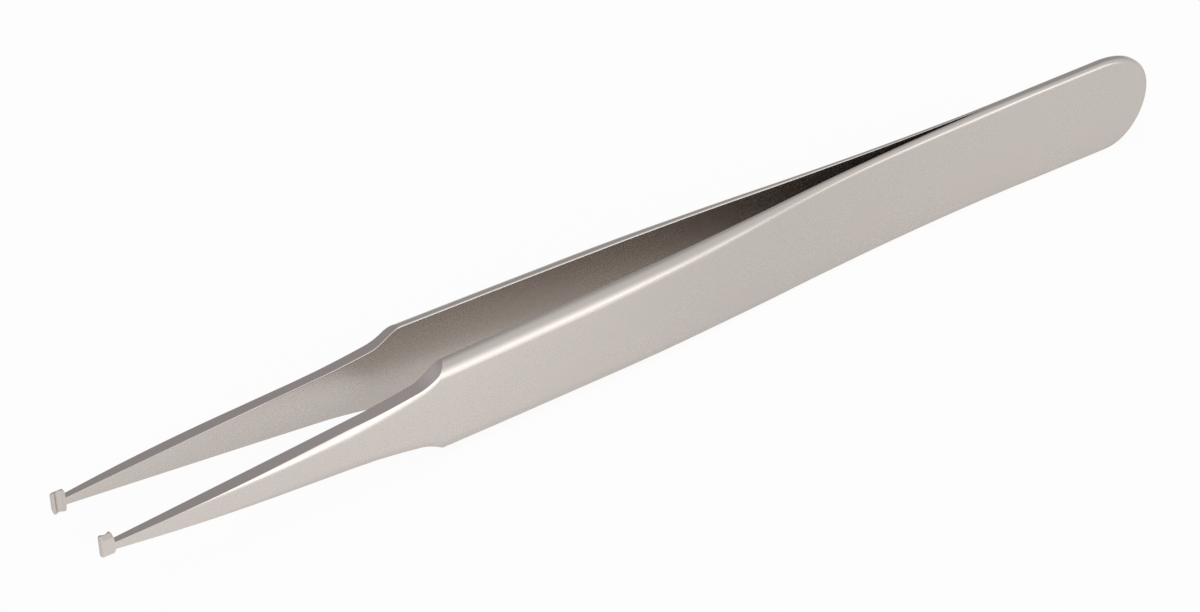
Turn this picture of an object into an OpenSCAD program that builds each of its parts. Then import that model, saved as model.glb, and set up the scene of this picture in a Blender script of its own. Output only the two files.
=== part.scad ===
// Spring tweezers for cylindrical surface-mount components.
// Two ground steel arms stand on their long edges, tips towards -X and heel towards +X.
// The near arm lies at -Y and the far arm at +Y. All sizes are in millimetres.

/* [Overall] */
// Length from the tips to the end of the heel
overall_length = 120; // [112:0.5:130]

/* [Heel and weld] */
// Height of the blades at the heel
heel_height = 9.75; // [9.2:0.05:11]
// Thickness of each leaf at the heel, which is the spring of the arm
leaf_thickness = 0.65; // [0.5:0.01:0.8]
// Radius that is ground on the outer long edges at the heel
heel_round = 0.44; // [0.2:0.01:0.45]
// Length over which the two leaves lie face to face
weld_length = 13; // [11:0.5:18]
// Length of the rounded end of the heel
heel_end_length = 5.3; // [4:0.1:7]
// How far the crest of the rounded end lies above the middle line
heel_end_lift = 0.85; // [0:0.05:1.2]

/* [Spot welds] */
// Number of weld nuggets along the heel
nugget_count = 2; // [1:1:3]
// Diameter of one weld nugget
nugget_d = 2.4; // [1.6:0.1:3.2]
// Depth that a nugget reaches into each leaf
nugget_depth = 0.3; // [0.2:0.01:0.4]
// Spacing of the nuggets
nugget_pitch = 3.6; // [3.4:0.1:4]
// Distance from the end of the heel to the nearest nugget's middle
nugget_from_end = 5.2; // [4.5:0.1:6]

/* [Blade] */
// Distance from the end of the heel to the line where the leaf bends in use
flex_from_heel = 30; // [26:0.5:34]
// Distance from the tips to where the blade starts to lose height
taper_from_tip = 83; // [70:0.5:85]
// Distance from the tips to the point where the arms spread the most
spread_from_tip = 76.3; // [70:0.1:80]
// Angle of each arm to the middle line at that point
spread_angle = 5.4; // [4.8:0.1:6]

/* [Grip] */
// Height of the blades at the crest of the shoulder
grip_height = 9.1; // [8.4:0.05:9.3]
// Thickness of the arm at the grip
grip_thickness = 1.58; // [1.4:0.01:1.8]
// Distance from the tips to the middle of the grip
grip_from_tip = 59; // [54:0.5:64]
// Angle of each arm to the middle line at the middle of the grip
grip_angle = 2.5; // [2:0.1:3]
// Distance from the tips to where the arm has its full thickness
thick_from_tip = 53; // [46:0.5:54]
// Radius of the outer long edges in front of the grip
grip_round = 1.2; // [0.8:0.05:1.25]
// Width of the small bevel along the inner edges
inner_bevel = 0.15; // [0.05:0.01:0.18]

/* [Shoulder and shank] */
// Distance from the tips to the foot of the shoulder
foot_from_tip = 28.4; // [24:0.1:30]
// Distance from the tips to where the steep flank of the shoulder starts
step_from_tip = 33.9; // [33:0.1:35]
// Distance from the tips to the crest of the shoulder
crest_from_tip = 37.1; // [36.5:0.1:38]
// Share of the shoulder's rise that the steep flank adds
flank_share = 0.65; // [0.4:0.05:0.8]
// Height of the shank at the foot of the shoulder
foot_height = 4.95; // [4:0.05:6]
// Outward swell of the shank's long edges between neck and foot
shank_swell = 0.01; // [0:0.01:0.1]
// Angle at which the shank's edge faces fall to the outer side at the foot of the shoulder
cut_slant = 6.5; // [2:0.5:8]
// Slant that the steep flank adds to it half way up
flank_slant = 11; // [0:1:14]
// Width of the bevel on the shank's outer edges at the foot
foot_bevel = 0.42; // [0.2:0.01:0.6]
// Distance from the tips to where that bevel starts to grow
bevel_from_tip = 10; // [8:0.5:14]
// Distance from the tips to where the shank has the thickness of the grip
thin_from_tip = 22; // [18:0.5:28]
// Height of the neck behind the jaw
neck_height = 0.73; // [0.65:0.01:1]
// Thickness of the neck and of the jaw
neck_thickness = 0.72; // [0.65:0.01:0.9]
// Width of the bevel on the neck's outer edges
neck_bevel = 0.04; // [0.02:0.01:0.15]
// Angle of each arm to the middle line at the tips
tip_angle = 0.5; // [0.2:0.1:1.5]

/* [Jaws] */
// Length of a jaw along the arm
jaw_length = 1.3; // [1.25:0.05:1.6]
// Height of a jaw
jaw_height = 2.15; // [1.9:0.05:2.6]
// Radius of the jaw's corners
jaw_corner = 0.2; // [0.15:0.01:0.3]
// Radius of the jaw's outer edges
jaw_edge = 0.12; // [0.05:0.01:0.15]
// Radius of the fillets between neck and jaw
neck_fillet = 0.15; // [0.08:0.01:0.25]
// Radius of the channel that holds a cylindrical component
channel_r = 0.5; // [0.4:0.01:0.55]
// Depth of the channel
channel_depth = 0.22; // [0.12:0.01:0.24]

/* [Clearances] */
// Width of the parting line between heel and arm, where the leaf bends
flex_gap = 0.1; // [0.06:0.01:0.2]
// Gap left between the ridges of one jaw and the middle line when the arms are closed
closed_gap = 0.05; // [0.03:0.01:0.1]
// Radial clearance round a weld nugget in its pocket
nugget_gap = 0.02; // [0.01:0.01:0.05]

/* [Hidden] */

near_tint = [0.80, 0.77, 0.75];
far_tint = [0.74, 0.71, 0.69];
weld_tint = [0.52, 0.50, 0.49];

// Steps round an edge and a corner, along the rounded end and along each stretch of the arm
edge_steps = 5;
corner_steps = 3;
end_steps = 12;
leaf_steps = 6;
blade_steps = 14;
crest_steps = 12;
foot_steps = 7;
bevel_steps = 8;
shank_steps = 5;

// Small bevels that no other piece depends on, and the slant of the jaw's rear face
leaf_bevel = 0.02;
jaw_bevel = 0.05;
rear_draft = 0.02;

// Flat that stays between the inner bevel and the rounded edge, and the least width of an edge
edge_land = 0.02;
least_edge = 0.15;

// Length over which the slope of the shoulder is measured, and how fast its sweep gets steeper
slope_step = 0.05;
sweep_power = 1.7;

// Named places along the arm, measured from the tips
weld_s = overall_length - weld_length;
flex_s = overall_length - flex_from_heel;
heel_half = heel_height / 2;
end_s = overall_length - heel_end_length;

// One circular bend of the middle line. Its slope turns from angle a0 to a1 over the length run,
// and the result is how far the arm has moved outwards after the length d.
function bend_rate(run, a0, a1) = (sin(a1) - sin(a0)) / run;
function bend_sine(d, run, a0, a1) = sin(a0) + bend_rate(run, a0, a1) * min(max(d, 0), run);
function bend_out(d, run, a0, a1) =
    (cos(a0) - sqrt(1 - pow(bend_sine(d, run, a0, a1), 2))) / bend_rate(run, a0, a1);

// Distance of the arm's inner face from the middle plane, and the angle of the arm there
function gap_at(s) =
    bend_out(weld_s - s, weld_s - spread_from_tip, 0, spread_angle)
    + bend_out(spread_from_tip - s, spread_from_tip - grip_from_tip, spread_angle, grip_angle)
    + bend_out(grip_from_tip - s, grip_from_tip, grip_angle, tip_angle);
function angle_at(s) = asin(
    s > spread_from_tip ? bend_sine(weld_s - s, weld_s - spread_from_tip, 0, spread_angle)
    : s > grip_from_tip
        ? bend_sine(spread_from_tip - s, spread_from_tip - grip_from_tip, spread_angle, grip_angle)
        : bend_sine(grip_from_tip - s, grip_from_tip, grip_angle, tip_angle));

// Helpers that ease or run straight from one value to another
function share(s, from, to) = min(max((s - from) / (to - from), 0), 1);
function mix(a, b, t) = a + (b - a) * t;
function ease(t) = t * t * (3 - 2 * t);

// Thickness: thin spring leaf, full grip, then a shank that thins faster and faster to the neck
function thickness_at(s) =
    s > crest_from_tip
        ? mix(leaf_thickness, grip_thickness, ease(share(s, flex_s, thick_from_tip)))
        : mix(grip_thickness, neck_thickness, pow(1 - share(s, jaw_length, thin_from_tip), 2));

// Half the height of the ground blank, before the shoulder is cut
function blank_half(s) =
    mix(grip_height, heel_height, min((s - crest_from_tip) / (taper_from_tip - crest_from_tip), 1)) / 2;

// Half the height that the cut leaves on the inner face. The shank widens in a straight line, which
// sweeps up behind the foot and gets steeper at the flank of the shoulder.
shank_rise = (foot_height - neck_height) / 2 / (foot_from_tip - jaw_length);
crest_rise = grip_height / 2 - neck_height / 2 - shank_rise * (crest_from_tip - jaw_length);
function cut_half(s) =
    let (
        u = share(s, jaw_length, foot_from_tip),
        sweep = pow(share(s, foot_from_tip, crest_from_tip), sweep_power),
        flank = ease(share(s, step_from_tip, crest_from_tip))
    )
    neck_height / 2 + shank_rise * max(s - jaw_length, 0) + shank_swell * 4 * u * (1 - u)
    + crest_rise * mix(sweep, flank, flank_share);
function cut_slope(s) = (cut_half(s + slope_step) - cut_half(s - slope_step)) / (2 * slope_step);

// Slant of the cut's edge faces, which are level at the jaw and at the crest
function slant_at(s) =
    let (w = share(s, step_from_tip, crest_from_tip))
    cut_slant * share(s, jaw_length, foot_from_tip) * (1 - pow(w, 3)) + flank_slant * 4 * w * (1 - w);

// Radius ground on the blank, as far as the wall allows, and bevel broken on the edges of the cut,
// which fades out where the rounding of the blank takes over
function round_at(s) = min(
    mix(grip_round, heel_round, share(s, thick_from_tip, weld_s)),
    thickness_at(s) - inner_bevel_at(s) - edge_land
);
bevel_end = (step_from_tip + crest_from_tip) / 2;
function bevel_at(s) =
    mix(neck_bevel, foot_bevel, ease(share(s, bevel_from_tip, foot_from_tip)))
    * (1 - pow(share(s, foot_from_tip, bevel_end), 2.5));

// Height of the section at the depth q below the outer face: the rounded blank or the bevelled
// cut, whichever is lower. The sharp crest of the shoulder is where the two meet.
function round_loss(q, r) =
    let (d = min(max(r - q, 0), r))
    r - sqrt((r - d) * (r + d));
function blank_top(s, q) = blank_half(s) - round_loss(q, round_at(s));
function cut_top(s, q) =
    cut_half(s) - (thickness_at(s) - q) * tan(slant_at(s))
    - max(bevel_at(s) - q, 0) * sqrt(1 + pow(cut_slope(s), 2));
function top_at(s, q) =
    s > crest_from_tip ? blank_top(s, q)
    : s > foot_from_tip ? min(blank_top(s, q), cut_top(s, q))
    : cut_top(s, q);

// A point at the distance s along the arm, the depth d outwards from the inner face and height z
function place(s, d, z) = [
    s + d * sin(angle_at(s)) - overall_length / 2,
    -gap_at(s) - d * cos(angle_at(s)),
    z + heel_half
];

// Angle through which each arm turns about the flex line until the ridges meet
close_angle = asin((gap_at(jaw_length) - closed_gap) / (flex_s - jaw_length));

// Skin over a row of rings. A ring holds its upper points from the inner face to the outer one,
// then its lower points back again, so each end is closed by strips from top to bottom.
module skin(rings) {
    n = len(rings[0]);
    last = (len(rings) - 1) * n;
    front = [for (j = [0:n / 2 - 2]) [j, j + 1, n - 2 - j, n - 1 - j]];
    back = [for (f = front) [for (j = [3:-1:0]) last + f[j]]];
    sides = [
        for (i = [0:len(rings) - 2], j = [0:n - 1])
            [i * n + j, (i + 1) * n + j, (i + 1) * n + (j + 1) % n, i * n + (j + 1) % n]
    ];
    polyhedron(points = [for (r = rings) each r], faces = concat(front, sides, back), convexity = 6);
}

// Ring at the distance s from a profile of [depth, height] points, the same above and below
function ring(s, profile) =
    let (n = len(profile))
    concat([for (k = [0:n - 1]) place(s, profile[k][0], profile[k][1])],
           [for (k = [n - 1:-1:0]) place(s, profile[k][0], -profile[k][1])]);

// Section of the arm behind the jaw: inner bevel, flat edge, then the rounded or bevelled edge
function inner_bevel_at(s) = mix(
    leaf_bevel, inner_bevel,
    min(share(s, bevel_from_tip, crest_from_tip), share(s, flex_s, spread_from_tip))
);
function edge_width(s) =
    max(mix(bevel_at(s), round_at(s), share(s, foot_from_tip, step_from_tip)), least_edge);
function fillet_at(s) = round_loss(s - jaw_length - rear_draft, neck_fillet);
function arm_profile(s) =
    let (t = thickness_at(s), c = inner_bevel_at(s), w = edge_width(s), f = fillet_at(s))
    concat(
        [[0, top_at(s, t) + f - c], [c, top_at(s, t) + f]],
        [for (k = [0:edge_steps])
            let (q = w * (1 - sin(90 * k / edge_steps)))
            [t - q, top_at(s, q) + f]]
    );

// Section of the jaw. Its inner face leans so that both jaws are parallel when the arms close.
function jaw_half(s) =
    jaw_height / 2 - round_loss(s, jaw_corner) - round_loss(jaw_length - s, jaw_corner);
function lean_at(s) = (jaw_length - s) * tan(close_angle - tip_angle);
function jaw_profile(s) =
    let (h = jaw_half(s), d = lean_at(s), t = neck_thickness - round_loss(s, jaw_edge))
    concat(
        [[d, h - jaw_bevel], [d + jaw_bevel, h]],
        [for (k = [0:edge_steps])
            let (q = jaw_edge * (1 - sin(90 * k / edge_steps)))
            [t - q, h - round_loss(q, jaw_edge)]]
    );

// Stations along the arm, measured from the tips
function steps(from, to, n, power = 1) = [for (k = [1:n]) mix(from, to, pow(k / n, power))];
corner_stations =
    [for (k = [0:corner_steps]) jaw_corner * (1 - cos(90 * k / corner_steps))];
jaw_stations = concat(
    corner_stations,
    [for (k = [corner_steps:-1:0]) jaw_length - corner_stations[k]]
);
neck_s = jaw_length + rear_draft;
arm_stations = concat(
    [for (k = [0:corner_steps]) neck_s + neck_fillet * (1 - cos(90 * k / corner_steps))],
    steps(neck_s + neck_fillet, bevel_from_tip, shank_steps, 1.3),
    steps(bevel_from_tip, foot_from_tip, bevel_steps),
    steps(foot_from_tip, step_from_tip, foot_steps),
    steps(step_from_tip, crest_from_tip, crest_steps),
    steps(crest_from_tip, flex_s - flex_gap / 2, blade_steps)
);

// The near arm from its jaw to the flex line, with the channel across the jaw
module arm() {
    mid = place(jaw_length / 2, channel_depth - channel_r + lean_at(jaw_length / 2), 0);
    difference() {
        skin(concat(
            [for (s = jaw_stations) ring(s, jaw_profile(s))],
            [for (s = arm_stations) ring(s, arm_profile(s))]
        ));
        translate([mid[0], mid[1], heel_half - jaw_height])
            cylinder(r = channel_r, h = 2 * jaw_height, $fn = 64);
    }
}

// Ring of the heel leaf in front of the rounded end
function leaf_profile(s) =
    let (t = leaf_thickness, r = round_at(s))
    concat([[0, blank_half(s)]],
           [for (k = [0:edge_steps])
               let (a = 90 * k / edge_steps)
               [t - r + r * sin(a), blank_half(s) - r * (1 - cos(a))]]);

// Ring of the rounded end at the angle a, from 90 at the straight edges to the last step at the
// crest. The outline is half an ellipse with its crest lifted, and its edge is rounded inwards.
last_angle = 90 / (2 * end_steps + 1);
function end_point(a, side, depth, inset) =
    let (
        run = heel_end_length * sin(a),
        rise = heel_half * cos(a) - side * 2 * heel_end_lift * sin(a) * cos(a),
        size = sqrt(run * run + rise * rise)
    )
    [
        end_s + heel_end_length * cos(a) / cos(last_angle) - inset * rise / size
            - overall_length / 2,
        -depth,
        heel_half + side * (heel_half * sin(a) - inset * run / size)
            + heel_end_lift * pow(cos(a), 2)
    ];
function end_ring(a) =
    let (
        r = heel_round,
        layers = concat([[0, 0]],
            [for (k = [0:edge_steps])
                let (b = 90 * k / edge_steps)
                [leaf_thickness - r + r * sin(b), r * (1 - cos(b))]]),
        n = len(layers)
    )
    concat([for (k = [0:n - 1]) end_point(a, 1, layers[k][0], layers[k][1])],
           [for (k = [n - 1:-1:0]) end_point(a, -1, layers[k][0], layers[k][1])]);

leaf_stations = concat([flex_s + flex_gap / 2], steps(flex_s + flex_gap / 2, weld_s, leaf_steps));

// The near arm's heel from the flex line to its rounded end, with a pocket for each nugget
module heel_leaf() {
    difference() {
        skin(concat(
            [for (s = leaf_stations) ring(s, leaf_profile(s))],
            [for (k = [0:end_steps]) end_ring(mix(90, last_angle, k / end_steps))]
        ));
        nuggets(nugget_d / 2 + nugget_gap);
    }
}

// Round weld nuggets, half in each leaf
module nuggets(r) {
    for (k = [0:nugget_count - 1])
        translate([overall_length / 2 - nugget_from_end - k * nugget_pitch, 0, heel_half])
            rotate([90, 0, 0])
                cylinder(r = r, h = 2 * nugget_depth, center = true, $fn = 48);
}

module near_heel_leaf() {
    color(near_tint) heel_leaf();
}

module far_heel_leaf() {
    color(far_tint) mirror([0, 1, 0]) heel_leaf();
}

module weld_nuggets() {
    color(weld_tint) nuggets(nugget_d / 2);
}

module near_arm() {
    color(near_tint) arm();
}

module far_arm() {
    color(far_tint) mirror([0, 1, 0]) arm();
}

near_heel_leaf();
far_heel_leaf();
weld_nuggets();
near_arm();
far_arm();
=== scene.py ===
import bpy
import math
from mathutils import Matrix, Vector
from types import SimpleNamespace


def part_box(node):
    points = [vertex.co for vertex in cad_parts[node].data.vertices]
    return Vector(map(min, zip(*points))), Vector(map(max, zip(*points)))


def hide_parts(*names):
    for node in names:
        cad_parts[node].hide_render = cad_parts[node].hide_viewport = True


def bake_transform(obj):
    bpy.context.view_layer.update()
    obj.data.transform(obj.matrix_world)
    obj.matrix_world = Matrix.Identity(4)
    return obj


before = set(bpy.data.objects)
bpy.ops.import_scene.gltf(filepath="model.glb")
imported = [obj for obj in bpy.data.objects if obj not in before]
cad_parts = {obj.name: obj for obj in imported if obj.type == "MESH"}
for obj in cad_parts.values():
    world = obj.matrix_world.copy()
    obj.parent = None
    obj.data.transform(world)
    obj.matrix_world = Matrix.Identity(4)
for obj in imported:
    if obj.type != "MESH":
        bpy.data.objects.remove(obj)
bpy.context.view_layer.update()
mm = 0.001
print("Frame loaded:", ", ".join(sorted(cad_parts)))


class Wire:  # a node's output, on which a sum adds Math nodes
    def __init__(self, tree, socket):
        self.tree = tree
        self.socket = socket

    def out(self, name):  # another output of the same node
        return Wire(self.tree, self.socket.node.outputs[name])

    def math(self, operation, *others):
        return self.tree.math(operation, self, *others)

    def __add__(self, other):
        return self.math("ADD", other)

    def __sub__(self, other):
        return self.math("SUBTRACT", other)

    def __rsub__(self, other):
        return self.tree.math("SUBTRACT", other, self)

    def __mul__(self, other):
        return self.math("MULTIPLY", other)

    def __truediv__(self, other):
        return self.math("DIVIDE", other)

    def __pow__(self, other):
        return self.math("POWER", other)

    __radd__ = __add__
    __rmul__ = __mul__

    def above(self, other):
        return self.math("GREATER_THAN", other)

    def below(self, other):
        return self.math("LESS_THAN", other)

    def least(self, other):
        return self.math("MINIMUM", other)

    def most(self, other):
        return self.math("MAXIMUM", other)

    def limit(self):  # held between 0 and 1
        return self.most(0).least(1)

    def root(self):
        return self.math("SQRT")


class Tree:  # a node tree in which one method adds any node
    def __init__(self, nodeTree):
        self.nodeTree = nodeTree

    def add(self, kind, settings=None, sockets=None, out=0):
        node = self.nodeTree.nodes.new(kind)
        for name, value in (settings or {}).items():
            setattr(node, name, value)
        for key, value in (sockets or {}).items():
            if isinstance(value, Wire):
                self.nodeTree.links.new(value.socket, node.inputs[key])
            else:
                node.inputs[key].default_value = value
        return Wire(self, node.outputs[out]) if node.outputs else None

    def math(self, operation, *values):
        return self.add("ShaderNodeMath", {"operation": operation}, dict(enumerate(values)))


def between(a, b, t):
    return a + (b - a) * t


def share(value, start, end):
    return ((value - start) / (end - start)).limit()


def ease(t):
    return t * t * (3 - 2 * t)


def roundLoss(q, r):  # what an edge of radius r takes off the height at the depth q
    d = (r - q).most(0).least(r)
    return r - ((r - d) * (r + d)).root()


# The blades: one strip of steel each, from the jaw to the rounded end of the heel
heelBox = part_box("near_heel_leaf")
bladeSizes = {  # millimetres and degrees; places are measured along the blade from the tips
    "length": round(2 * heelBox[1].x / mm, 3),
    "heelHeight": round((heelBox[1].z - heelBox[0].z) / mm, 3),
    "leafThickness": 0.65,
    "heelRound": 0.44,
    "weldLength": 13.0,
    "weldAngle": 0.0,
    "heelEndLength": 5.3,
    "heelEndLift": 0.85,
    "flexFromHeel": 30.0,
    "taperPlace": 83.0,
    "spreadPlace": 76.3,
    "spreadAngle": 5.4,
    "gripHeight": 9.1,
    "gripThickness": 1.58,
    "gripPlace": 59.0,
    "gripAngle": 2.5,
    "thickPlace": 53.0,
    "gripRound": 1.3,
    "innerBevel": 0.15,
    "thinBevel": 0.03,
    "thinBevelPlace": 10.0,
    "footPlace": 28.4,
    "stepPlace": 33.8,
    "crestPlace": 37.1,
    "flankShare": 0.65,
    "sweepPower": 1.7,
    "footHeight": 4.89,
    "shankSwell": 0.01,
    "cutSlant": 6.5,
    "flankSlant": 10.0,
    "lowerLead": 0.7,
    "shankRound": 1.2,
    "footRound": 1.8,
    "footBevel": 0.95,
    "flankBevel": 0.52,
    "bevelStart": 6.0,
    "roundPlace": 20.0,
    "bevelFull": 26.0,
    "bevelEnd": 36.0,
    "thinPlace": 22.0,
    "neckHeight": 0.73,
    "neckThickness": 0.72,
    "neckBevel": 0.05,
    "tipPlace": 0.0,
    "tipAngle": 0.5,
    "jawLength": 1.3,
    "jawHeight": 2.3,
    "jawLift": 0.12,
    "jawCorner": 0.2,
    "jawEdge": 0.4,
    "jawFront": 0.25,
    "jawSide": 0.2,
    "jawSlope": 0.75,
    "jawBevel": 0.05,
    "jawLean": 2.166,
    "rearDraft": 0.02,
    "neckFillet": 0.15,
    "channelRadius": 0.5,
    "channelDepth": 0.22,
    "seamStart": 99.0,
    "seamEnd": 101.5,
    "edgeLand": 0.02,
    "support": 0.02,
    "side": -1.0,
}
bladeRings = {  # rings along each stretch, from the tips to the heel
    "cap": 2, "frontCorner": 8, "frontRidge": 1, "channel": 24, "rearRidge": 1, "rearCorner": 8,
    "rearWall": 1, "fillet": 8, "shank": 70, "sweep": 40, "flank": 80, "grip": 34,
    "blade": 120, "heel": 16, "end": 44,
}
innerSteps = 4  # steps round the inner edge of a ring
arcSteps = 14  # steps round its outer edge
flatColumns = innerSteps + 4  # columns of a ring before the outer edge starts
crispAngle = 24.0  # degrees, past which an edge is drawn sharp
capShare = 0.04  # how much the outer ring of the tip's cap falls short of the full height
edgeEase = 0.5  # how much less coarse, and less darkened by painted shade, the ground edges are behind the crest


def buildBladeTree():
    group = bpy.data.node_groups.new("bladeLoft", "GeometryNodeTree")
    group.interface.new_socket("Geometry", in_out="INPUT", socket_type="NodeSocketGeometry")
    group.interface.new_socket("Geometry", in_out="OUTPUT", socket_type="NodeSocketGeometry")
    for name, value in bladeSizes.items():
        socket = group.interface.new_socket(name, in_out="INPUT", socket_type="NodeSocketFloat")
        socket.default_value = value
    group.interface.new_socket("steel", in_out="INPUT", socket_type="NodeSocketMaterial")
    tree = Tree(group)
    given = tree.add("NodeGroupInput")
    size = SimpleNamespace(**{name: given.out(name) for name in bladeSizes})

    # A flat grid: i counts the rings along the blade and j the points round a ring
    half = flatColumns + arcSteps + 2
    ringCount = sum(bladeRings.values()) + 1
    grid = tree.add("GeometryNodeMeshGrid", sockets={
        "Size X": ringCount - 1, "Size Y": 2 * half, "Vertices X": ringCount, "Vertices Y": 2 * half + 1})
    flat = tree.add("ShaderNodeSeparateXYZ", sockets={0: tree.add("GeometryNodeInputPosition")})
    i = (flat.out("X") + (ringCount - 1) / 2).math("ROUND")
    j = (flat.out("Y") + half).math("ROUND").math("MODULO", 2 * half)
    lower = j.above(half - 0.5)
    k = j + (2 * half - 1 - 2 * j) * lower
    zSide = 1 - 2 * lower

    # The place s along the blade of each ring
    weld = size.length - size.weldLength
    flex = size.length - size.flexFromHeel
    endStart = size.length - size.heelEndLength
    jawMiddle = size.jawLength / 2
    chord = (size.channelRadius ** 2 - (size.channelRadius - size.channelDepth) ** 2).root()
    neck = size.jawLength + size.rearDraft
    stretches = [
        ("frontCorner", size.jawCorner, "start"), ("frontRidge", jawMiddle - chord, ""),
        ("channel", jawMiddle + chord, ""), ("rearRidge", size.jawLength - size.jawCorner, ""),
        ("rearCorner", size.jawLength, "end"), ("rearWall", neck, ""),
        ("fillet", neck + size.neckFillet, "start"), ("shank", size.footPlace, ""),
        ("sweep", size.stepPlace, ""), ("flank", size.crestPlace, ""),
        ("grip", size.thickPlace, ""), ("blade", weld, ""), ("heel", endStart, ""),
    ]
    s, begin, first = 0, 0, bladeRings["cap"]
    for name, end, crowded in stretches:
        t = ((i - first) / bladeRings[name]).limit()
        if crowded == "start":
            t = t * t
        elif crowded == "end":
            t = 1 - (1 - t) ** 2
        s = (end - begin) * t + s
        begin, first = end, first + bladeRings[name]
    turn = ((i - first) / bladeRings["end"]).limit() * (math.pi / 2)
    endCos, endSin = turn.math("SINE"), turn.math("COSINE")

    # The middle line: three circular bends, each from one slope to the next
    def slope(degrees):
        return degrees.math("RADIANS").math("SINE")

    def bend(start, end, sineStart, sineEnd):
        d = (start - s).most(0).least(start - end)
        turned = (sineEnd - sineStart) * (d / (start - end))
        sine = sineStart + turned
        cosines = (1 - sineStart ** 2).root() + (1 - sine * sine).root()
        return turned, d * (sineStart + sine) / cosines

    turned, moved = zip(
        bend(weld, size.spreadPlace, slope(size.weldAngle), slope(size.spreadAngle)),
        bend(size.spreadPlace, size.gripPlace, slope(size.spreadAngle), slope(size.gripAngle)),
        bend(size.gripPlace, size.tipPlace, slope(size.gripAngle), slope(size.tipAngle)),
    )
    sine = turned[0] + turned[1] + turned[2]
    gap = moved[0] + moved[1] + moved[2]
    cosine = (1 - sine * sine).root()

    # Thickness, half height of the ground blank, and where the jaw and the uncut blank are
    inJaw = s.below(size.jawLength + size.rearDraft / 4)
    cutPlace = s + size.lowerLead * lower * share(s, size.footPlace, size.stepPlace - size.lowerLead)
    behind = cutPlace.above(size.crestPlace)
    leafThickness = between(size.leafThickness, size.gripThickness, ease(share(s, flex, size.thickPlace)))
    shankShare = 1 - share(s, size.jawLength, size.thinPlace)
    shankThickness = between(size.gripThickness, size.neckThickness, shankShare ** 2)
    jawThickness = size.neckThickness - roundLoss(s, size.jawFront)
    thickness = between(shankThickness, leafThickness, behind)
    thickness = between(thickness, jawThickness, inJaw)
    uncut = behind.most(inJaw)

    taper = ((s - size.crestPlace) / (size.taperPlace - size.crestPlace)).least(1)
    blankHalf = between(size.gripHeight, size.heelHeight, taper) / 2
    shankRise = (size.footHeight - size.neckHeight) / 2 / (size.footPlace - size.jawLength)
    crestLine = size.neckHeight / 2 + shankRise * (size.crestPlace - size.jawLength)

    def cutHalf(at):  # half the height that the cut of shank and shoulder leaves
        u = share(at, size.jawLength, size.footPlace)
        sweep = share(at, size.footPlace, size.crestPlace) ** size.sweepPower
        flank = ease(share(at, size.stepPlace, size.crestPlace))
        line = size.neckHeight / 2 + shankRise * (at - size.jawLength).most(0)
        line = line + size.shankSwell * 4 * u * (1 - u)
        return line + (size.gripHeight / 2 - crestLine) * between(sweep, flank, size.flankShare)

    # The cut's faces slant. On the flank the added slant is full at two thirds of the way up,
    # where u * u * (1 - u) is 1 / 6.75.
    upFlank = share(cutPlace, size.stepPlace, size.crestPlace)
    slant = size.cutSlant * share(s, size.jawLength, size.footPlace) * (1 - upFlank ** 3)
    slant = slant + size.flankSlant * 6.75 * upFlank * upFlank * (1 - upFlank)
    fall = slant.math("RADIANS").math("TANGENT") * (1 - inJaw)
    fillet = roundLoss(s - neck, size.neckFillet)
    jawTop = size.jawHeight / 2 - roundLoss(s, size.jawCorner)
    jawTop = jawTop - roundLoss(size.jawLength - s, size.jawCorner)
    blank = between(blankHalf, jawTop, inJaw)
    top = between(cutHalf(cutPlace) + fillet, blank, uncut)

    # Inner bevel and radius of the outer edge
    wear = share(s, size.thinBevelPlace, size.crestPlace)
    wear = wear.least(1 - share(s, size.spreadPlace, size.seamStart))
    wear = between(size.thinBevel, size.innerBevel, wear) * (1 - share(s, size.seamStart, size.seamEnd))
    bevelIn = between(wear, size.jawBevel, inJaw)
    blankRound = between(size.gripRound, size.heelRound, share(s, size.thickPlace, weld))
    blankRound = blankRound.least(thickness - wear - size.edgeLand - 2 * size.support)
    shankRound = between(size.shankRound, size.footRound, share(s, size.roundPlace, size.bevelFull))
    blankRound = between(shankRound, blankRound, share(cutPlace, size.stepPlace, size.bevelEnd))
    radius = between(blankRound, size.jawEdge.least(jawThickness - size.jawSide), inJaw)

    # The outer edge is an arc, and on the jaw a straight bevel. Behind the crest the arc is a full
    # quarter. The slanting cut ends it sooner: on the shank so that the arc is as high as the
    # bevel, and on the flank where the cut meets the arc of the blank.
    bevel = between(size.neckBevel, size.footBevel, share(s, size.bevelStart, size.bevelFull))
    bevel = between(bevel, size.flankBevel, share(s, size.bevelFull, size.bevelEnd))
    bevelDepth = radius - (radius ** 2 - bevel * bevel).root()
    corner = (top - fall * (thickness - bevelDepth) + radius - bevel).least(blank)
    corner = between(corner, blank, uncut)
    reach = radius - (corner - top) - fall * (thickness - radius)
    inside = (radius ** 2 * (1 + fall * fall) - reach * reach).most(0).root()
    cross = (radius - (reach * fall + inside) / (1 + fall * fall)).most(0).least(radius)
    edgeStart = (1 - between(cross, radius, uncut) / radius).math("ARCSINE")

    # The inner face: the jaw leans, its channel is a round groove, and the weld fills the seam
    lean = (size.jawLength - s).most(0) * size.jawLean.math("RADIANS").math("TANGENT")
    off = (s - jawMiddle).math("ABSOLUTE").least(chord)
    groove = (size.channelRadius ** 2 - off * off).root() - (size.channelRadius - size.channelDepth)
    seamFill = gap / cosine * share(s, size.seamStart, size.seamEnd)
    bevelLeft = (bevelIn - groove).most(0)
    inner = lean + groove - seamFill

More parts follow.
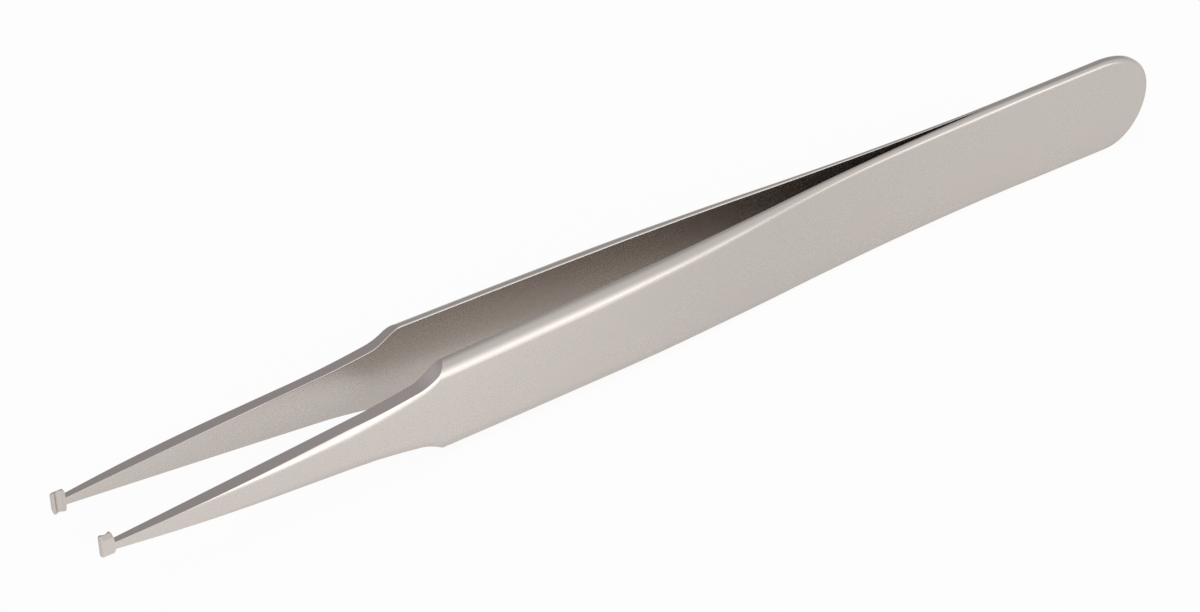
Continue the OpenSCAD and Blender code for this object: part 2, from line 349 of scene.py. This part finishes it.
    # Depth q below the outer face of every column, then its height
    innerTurn = ((k - 1) / innerSteps).limit() * (math.pi / 2)
    edgeTurn = between(edgeStart, math.pi / 2, ((k - flatColumns) / arcSteps).limit())
    q = thickness - inner - bevelLeft * (1 - innerTurn.math("COSINE"))
    q = q - size.support * k.above(innerSteps + 1.5)
    edgeQ = radius * (1 - edgeTurn.math("SINE")) + size.support * k.below(flatColumns - 0.5)
    q = between(q, edgeQ, k.above(innerSteps + 2.5))
    loss = between(roundLoss(q, radius), (radius - q).most(0) * size.jawSlope, inJaw)
    height = (corner - loss).least(top - (thickness - q) * fall)
    height = height - bevelLeft * (1 - innerTurn.math("SINE"))
    height = height - size.support * (k.below(0.5) + k.above(half - 1.5))
    depth = thickness - q

    # Place in the row frame. The rounded end turns its outline through a quarter on each side.
    heelHalf = size.heelHeight / 2
    inset = heelHalf - height
    run = size.heelEndLength * endSin
    rise = heelHalf * endCos - zSide * 2 * size.heelEndLift * endSin * endCos
    normal = (run * run + rise * rise).root()
    closing = i.limit() * (1 - capShare) + (i - 1).limit() * capShare
    x = s + depth * sine + size.heelEndLength * endCos - inset * rise / normal
    y = (gap + depth * cosine) * size.side
    z = zSide * (height - heelHalf * (1 - endSin) + inset * (1 - run / normal)) * closing
    z = z + heelHalf + size.heelEndLift * endCos * endCos + size.jawLift * inJaw
    place = tree.add("ShaderNodeCombineXYZ", sockets={
        "X": (x - size.length / 2) * mm, "Y": y * mm, "Z": z * mm})
    # What the finish needs: how far a point lies on the coarsely ground edges, which get a coarser grain
    # and also a darker colour that is painted shade
    onEdge = k.above(innerSteps + 0.5) * k.below(flatColumns + 0.5) * (1 - inJaw)
    onEdge = onEdge * (1 - edgeEase * behind)
    shape = tree.add("GeometryNodeStoreNamedAttribute", {"data_type": "FLOAT", "domain": "POINT"},
                     {"Geometry": grid, "Name": "groundEdgeAndShade", "Value": onEdge})
    shape = tree.add("GeometryNodeSetPosition", sockets={"Geometry": shape, "Position": place})
    shape = tree.add("GeometryNodeFlipFaces", sockets={"Mesh": shape, "Selection": size.side.above(0)})
    shape = tree.add("GeometryNodeMergeByDistance", sockets={"Geometry": shape, "Distance": mm / 1000})
    shape = tree.add("GeometryNodeSetShadeSmooth", {"domain": "FACE"},
                     {"Geometry": shape, "Shade Smooth": True})
    crisp = tree.add("GeometryNodeInputMeshEdgeAngle").above(math.radians(crispAngle))
    shape = tree.add("GeometryNodeSetShadeSmooth", {"domain": "EDGE"},
                     {"Geometry": shape, "Selection": crisp, "Shade Smooth": False})
    shape = tree.add("GeometryNodeRealizeInstances", sockets={"Geometry": shape})
    shape = tree.add("GeometryNodeSetMaterial", sockets={"Geometry": shape, "Material": given.out("steel")})
    tree.add("NodeGroupOutput", sockets={"Geometry": shape})
    return group


def meshFromTree(name, group, values):
    piece = bpy.data.objects.new(name, bpy.data.meshes.new(name))
    bpy.context.scene.collection.objects.link(piece)
    modifier = piece.modifiers.new("loft", "NODES")
    modifier.node_group = group
    for item in group.interface.items_tree:
        if item.in_out == "INPUT" and item.name in values:
            modifier[item.identifier] = values[item.name]
    evaluated = piece.evaluated_get(bpy.context.evaluated_depsgraph_get())
    mesh = bpy.data.meshes.new_from_object(evaluated)
    piece.modifiers.remove(modifier)
    piece.data = mesh
    return piece


bladeFinish = {
    "steel": (0.585, 0.54, 0.505, 1),
    # the ground edges' darker colour is painted shade
    "edgeShadedSteel": (0.51, 0.45, 0.445, 1),
    "roughness": 0.27,
    "grainPerMm": 9.0,
    "grainHeight": 0.0006,
    "edgeGrainHeight": 0.003,
    "patchPerMm": 0.12,
    "edgeShadeTint": 0.9,
    "patchTint": 0.3,
    "patchRoughness": 0.08,
    "grainRoughness": (0.06, 0.14),  # on the faces, and what the ground edges add
    "speckFiner": 2.2,
    "speckShare": 0.5,
}


def steelMaterial():
    material = bpy.data.materials.new("satinSteel")
    material.use_nodes = True
    material.node_tree.nodes.clear()
    tree = Tree(material.node_tree)
    place = tree.add("ShaderNodeTexCoord").out("Object")
    edge = tree.add("ShaderNodeAttribute", {"attribute_name": "groundEdgeAndShade"}).out("Fac")
    finish = bladeFinish

    def noise(perMm, stretch, detail=3.0):
        scaled = tree.add("ShaderNodeMapping", {"vector_type": "POINT"}, {
            "Vector": place, "Scale": [perMm / mm * n for n in stretch]})
        return tree.add("ShaderNodeTexNoise", {"noise_dimensions": "3D"}, {
            "Vector": scaled, "Scale": 1.0, "Detail": detail}).out("Fac")

    grain = noise(finish["grainPerMm"], (0.5, 1, 1))
    speck = noise(finish["grainPerMm"] * finish["speckFiner"], (0.7, 1, 1), 1.0)
    patches = noise(finish["patchPerMm"], (1, 1, 1), 2.0)
    # The ground edges are drawn darker, which is painted shade; the patches vary the tone at random
    tint = (edge * finish["edgeShadeTint"] + (patches - 0.5) * finish["patchTint"]).limit()
    colour = tree.add("ShaderNodeMix", {"data_type": "RGBA"}, {
        0: tint, 6: finish["steel"], 7: finish["edgeShadedSteel"]}, 2)
    onFace, onEdge = finish["grainRoughness"]
    roughness = finish["roughness"] + (patches - 0.5) * finish["patchRoughness"]
    roughness = roughness + (grain - 0.5) * (onFace + onEdge * edge)
    height = between(finish["grainHeight"], finish["edgeGrainHeight"], edge)
    height = height * (grain + finish["speckShare"] * speck)
    bump = tree.add("ShaderNodeBump", sockets={"Strength": 1.0, "Distance": mm, "Height": height})
    shader = tree.add("ShaderNodeBsdfPrincipled", sockets={
        "Base Color": colour, "Metallic": 1.0, "Roughness": roughness, "Normal": bump})
    tree.add("ShaderNodeOutputMaterial", sockets={"Surface": shader})
    return material


weldFinish = {
    "dark": (0.30, 0.25, 0.22, 1),
    "light": (0.42, 0.38, 0.36, 1),
    "tintPerMetre": 2000.0,
    "rippleHeight": 0.02,
    "roughness": 0.45,
    "rippleRoughness": 0.2,
}


def weldMaterial():
    material = bpy.data.materials.new("weldSteel")
    material.use_nodes = True
    material.node_tree.nodes.clear()
    tree = Tree(material.node_tree)
    place = tree.add("ShaderNodeTexCoord").out("Object")
    ripple = tree.add("ShaderNodeTexNoise", sockets={
        "Vector": place, "Scale": weldFinish["tintPerMetre"]}).out("Fac")
    colour = tree.add("ShaderNodeMix", {"data_type": "RGBA"}, {
        0: ripple, 6: weldFinish["dark"], 7: weldFinish["light"]}, 2)
    bump = tree.add("ShaderNodeBump", sockets={
        "Strength": 1.0, "Distance": mm, "Height": ripple * weldFinish["rippleHeight"]})
    roughness = weldFinish["roughness"] + ripple * weldFinish["rippleRoughness"]
    shader = tree.add("ShaderNodeBsdfPrincipled", sockets={
        "Base Color": colour, "Metallic": 1.0, "Roughness": roughness, "Normal": bump})
    tree.add("ShaderNodeOutputMaterial", sockets={"Surface": shader})
    return material


satinSteel = steelMaterial()
bladeTree = buildBladeTree()
for name, side, body in (("near_blade", -1.0, "near_arm"), ("far_blade", 1.0, "far_arm")):
    blade = meshFromTree(name, bladeTree, {**bladeSizes, "side": side, "steel": satinSteel})
    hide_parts(name.split("_")[0] + "_heel_leaf", body)
    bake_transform(blade)
    print("Blade", name, "has", len(blade.data.polygons), "faces")

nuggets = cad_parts["weld_nuggets"]
weldSteel = weldMaterial()
nuggets.data.materials.clear()
nuggets.data.materials.append(weldSteel)
print("Weld nuggets dressed")


# The studio: a pale table, a soft tent with one low window in front, and two soft lamps. The table has
# painted pools of light:
# for reflected rays only it glows brighter in front, near the shanks and in the gap of the blades, so the
# steel mirrors them.
studio = {
    "floorHalf": 4.0,
    "floorColour": (0.75, 0.75, 0.75, 1),
    "floorRoughness": 0.18,
    "floorIor": 2.0,
    "floorSeen": 0.93,
    "floorMirrored": 0.4,
    # painted pools of light on the table, which only reflected rays see
    "litGlow": 2.15,
    "litAcross": (0.035, 0.0),
    "litAhead": (-0.012, -0.05),
    "nearGlow": 0.27,
    "nearAcross": (0.012, -0.022),
    "nearAhead": (0.004, -0.012),
    "gapGlow": 0.35,
    "gapAcross": (-0.035, -0.012),
    "deepGlow": 4.0,
    "deepAcross": (0.018, 0.036),
    "gapEnd": 0.035,
    "gapSpread": 0.09,
    "gapCore": 0.5,
    "tentRadius": 3.0,
    "tentFront": 0.84,
    "tentBack": 0.46,
    "tentFade": (-0.1, 0.8),
    "windowGlow": 1.6,
    "windowEdge": 36.6,
    "windowSoft": 0.03,
    "windowAhead": (0.1, -0.3),
    "windowFall": 1.3,
    "roomGrey": (0.5, 0.5, 0.5, 1),
}
lamps = {  # place, width and height in metres, and power in watts
    "keyLamp": ((0.7, -1.25, 0.62), 1.3, 1.1, 4.0),
    "topLamp": ((0, 0, 2.0), 1.6, 1.6, 7.0),
}


def rayShare(tree, seen, mirrored):  # camera, glossy and transmission rays see the background
    rays = tree.add("ShaderNodeLightPath")
    other = rays.out("Is Glossy Ray").most(rays.out("Is Transmission Ray"))
    return (rays.out("Is Camera Ray") * seen + other * mirrored).limit()


def makeFloor():
    half = studio["floorHalf"]
    mesh = bpy.data.meshes.new("floor")
    corners = [(-half, -half, 0), (half, -half, 0), (half, half, 0), (-half, half, 0)]
    mesh.from_pydata(corners, [], [(0, 1, 2, 3)])
    floor = bpy.data.objects.new("floor", mesh)
    bpy.context.scene.collection.objects.link(floor)
    material = bpy.data.materials.new("paleFloor")
    material.use_nodes = True
    material.node_tree.nodes.clear()
    tree = Tree(material.node_tree)
    table = tree.add("ShaderNodeBsdfPrincipled", sockets={
        "Base Color": studio["floorColour"], "Roughness": studio["floorRoughness"],
        "IOR": studio["floorIor"]})
    place = tree.add("ShaderNodeSeparateXYZ", sockets={0: tree.add("ShaderNodeTexCoord").out("Object")})
    x, y = place.out("X"), place.out("Y")
    # Painted pools of light: extra glow of the table, in front, near the shanks and deep in the gap of the
    # blades
    lit = studio["litGlow"] * ease(share(x, *studio["litAcross"])) * ease(share(y, *studio["litAhead"]))
    near = studio["nearGlow"] * ease(share(x, *studio["nearAcross"])) * ease(share(y, *studio["nearAhead"]))
    aside = (studio["gapEnd"] - x).most(mm / 10) * studio["gapSpread"]
    inGap = ease(share(y.math("ABSOLUTE"), aside, aside * studio["gapCore"]))
    deep = studio["gapGlow"] * ease(share(x, *studio["gapAcross"]))
    deep = deep + studio["deepGlow"] * ease(share(x, *studio["deepAcross"]))
    glow = (lit + near + deep * inGap) * (1 - tree.add("ShaderNodeLightPath").out("Is Camera Ray"))
    white = tree.add("ShaderNodeEmission", sockets={"Color": (1, 1, 1, 1), "Strength": 1 + glow})
    both = tree.add("ShaderNodeMixShader", sockets={
        0: rayShare(tree, studio["floorSeen"], studio["floorMirrored"]), 1: table, 2: white})
    tree.add("ShaderNodeOutputMaterial", sockets={"Surface": both})
    mesh.materials.append(material)


def makeTent():  # a sphere round the table, darker behind, which the camera does not see
    radius = studio["tentRadius"]
    bpy.ops.mesh.primitive_uv_sphere_add(segments=64, ring_count=32, radius=radius)
    tent = bpy.context.object
    tent.name = "tent"
    tent.visible_camera = False
    tent.visible_shadow = False
    material = bpy.data.materials.new("tentCloth")
    material.use_nodes = True
    material.node_tree.nodes.clear()
    tree = Tree(material.node_tree)
    place = tree.add("ShaderNodeSeparateXYZ", sockets={0: tree.add("ShaderNodeTexCoord").out("Object")})
    x, y, z = (place.out(axis) / radius for axis in "XYZ")
    cloth = between(studio["tentFront"], studio["tentBack"], ease(share(y, *studio["tentFade"])))
    edge, soft = math.radians(studio["windowEdge"]), studio["windowSoft"]
    window = ease(share(x * math.cos(edge) + y * math.sin(edge), soft, -soft))
    window = window * share(y, *studio["windowAhead"]) * (1 - z.most(0)) ** studio["windowFall"]
    level = cloth + studio["windowGlow"] * window
    shade = tree.add("ShaderNodeCombineXYZ", sockets={0: level, 1: level, 2: level})
    glow = tree.add("ShaderNodeEmission", sockets={"Color": shade, "Strength": 1.0})
    tree.add("ShaderNodeOutputMaterial", sockets={"Surface": glow})
    tent.data.materials.append(material)


def makeLamp(name, place, width, height, power):  # lights the table, and is not mirrored
    data = bpy.data.lights.new(name, "AREA")
    data.shape = "RECTANGLE"
    data.size = width
    data.size_y = height
    data.energy = power
    lamp = bpy.data.objects.new(name, data)
    bpy.context.scene.collection.objects.link(lamp)
    lamp.location = place
    lamp.rotation_euler = (-Vector(place)).to_track_quat("-Z", "Y").to_euler()
    lamp.visible_camera = False
    lamp.visible_glossy = False


makeFloor()
makeTent()
for lampName, values in lamps.items():
    makeLamp(lampName, *values)

world = bpy.data.worlds.new("studioWorld")
bpy.context.scene.world = world
world.use_nodes = True
world.node_tree.nodes.clear()
worldTree = Tree(world.node_tree)
room = worldTree.add("ShaderNodeBackground", sockets={"Color": studio["roomGrey"], "Strength": 1.0})
white = worldTree.add("ShaderNodeBackground", sockets={"Color": (1, 1, 1, 1), "Strength": 1.0})
bothWorlds = worldTree.add("ShaderNodeMixShader", sockets={
    0: rayShare(worldTree, 1.0, 1.0), 1: room, 2: white})
worldTree.add("ShaderNodeOutputWorld", sockets={"Surface": bothWorlds})
bpy.context.scene.view_settings.view_transform = "Standard"
print("Studio lit")


# The camera looks down along the blades from the left, a little rolled
cameraView = {
    "azimuth": -30.239,
    "elevation": 32.631,
    "roll": -4.913,
    "distance": 0.67497,
    "target": (-0.0033124, 0.0000661, 0.0053661),
    "lens": 216.0,
    "sensor": 36.0,
}


def makeCamera():
    azimuth, elevation, roll = (math.radians(cameraView[n]) for n in ("azimuth", "elevation", "roll"))
    back = Vector((math.sin(azimuth) * math.cos(elevation), -math.cos(azimuth) * math.cos(elevation),
                   math.sin(elevation)))
    right = (-back).cross(Vector((0, 0, 1))).normalized()
    up = right.cross(-back)
    across = math.cos(roll) * right + math.sin(roll) * up
    upright = -math.sin(roll) * right + math.cos(roll) * up
    data = bpy.data.cameras.new("camera")
    data.sensor_width = cameraView["sensor"]
    data.lens = cameraView["lens"]
    camera = bpy.data.objects.new("camera", data)
    bpy.context.scene.collection.objects.link(camera)
    place = Vector(cameraView["target"]) + back * cameraView["distance"]
    turn = Matrix((across, upright, back)).transposed().to_4x4()
    camera.matrix_world = Matrix.Translation(place) @ turn
    bpy.context.scene.camera = camera


makeCamera()
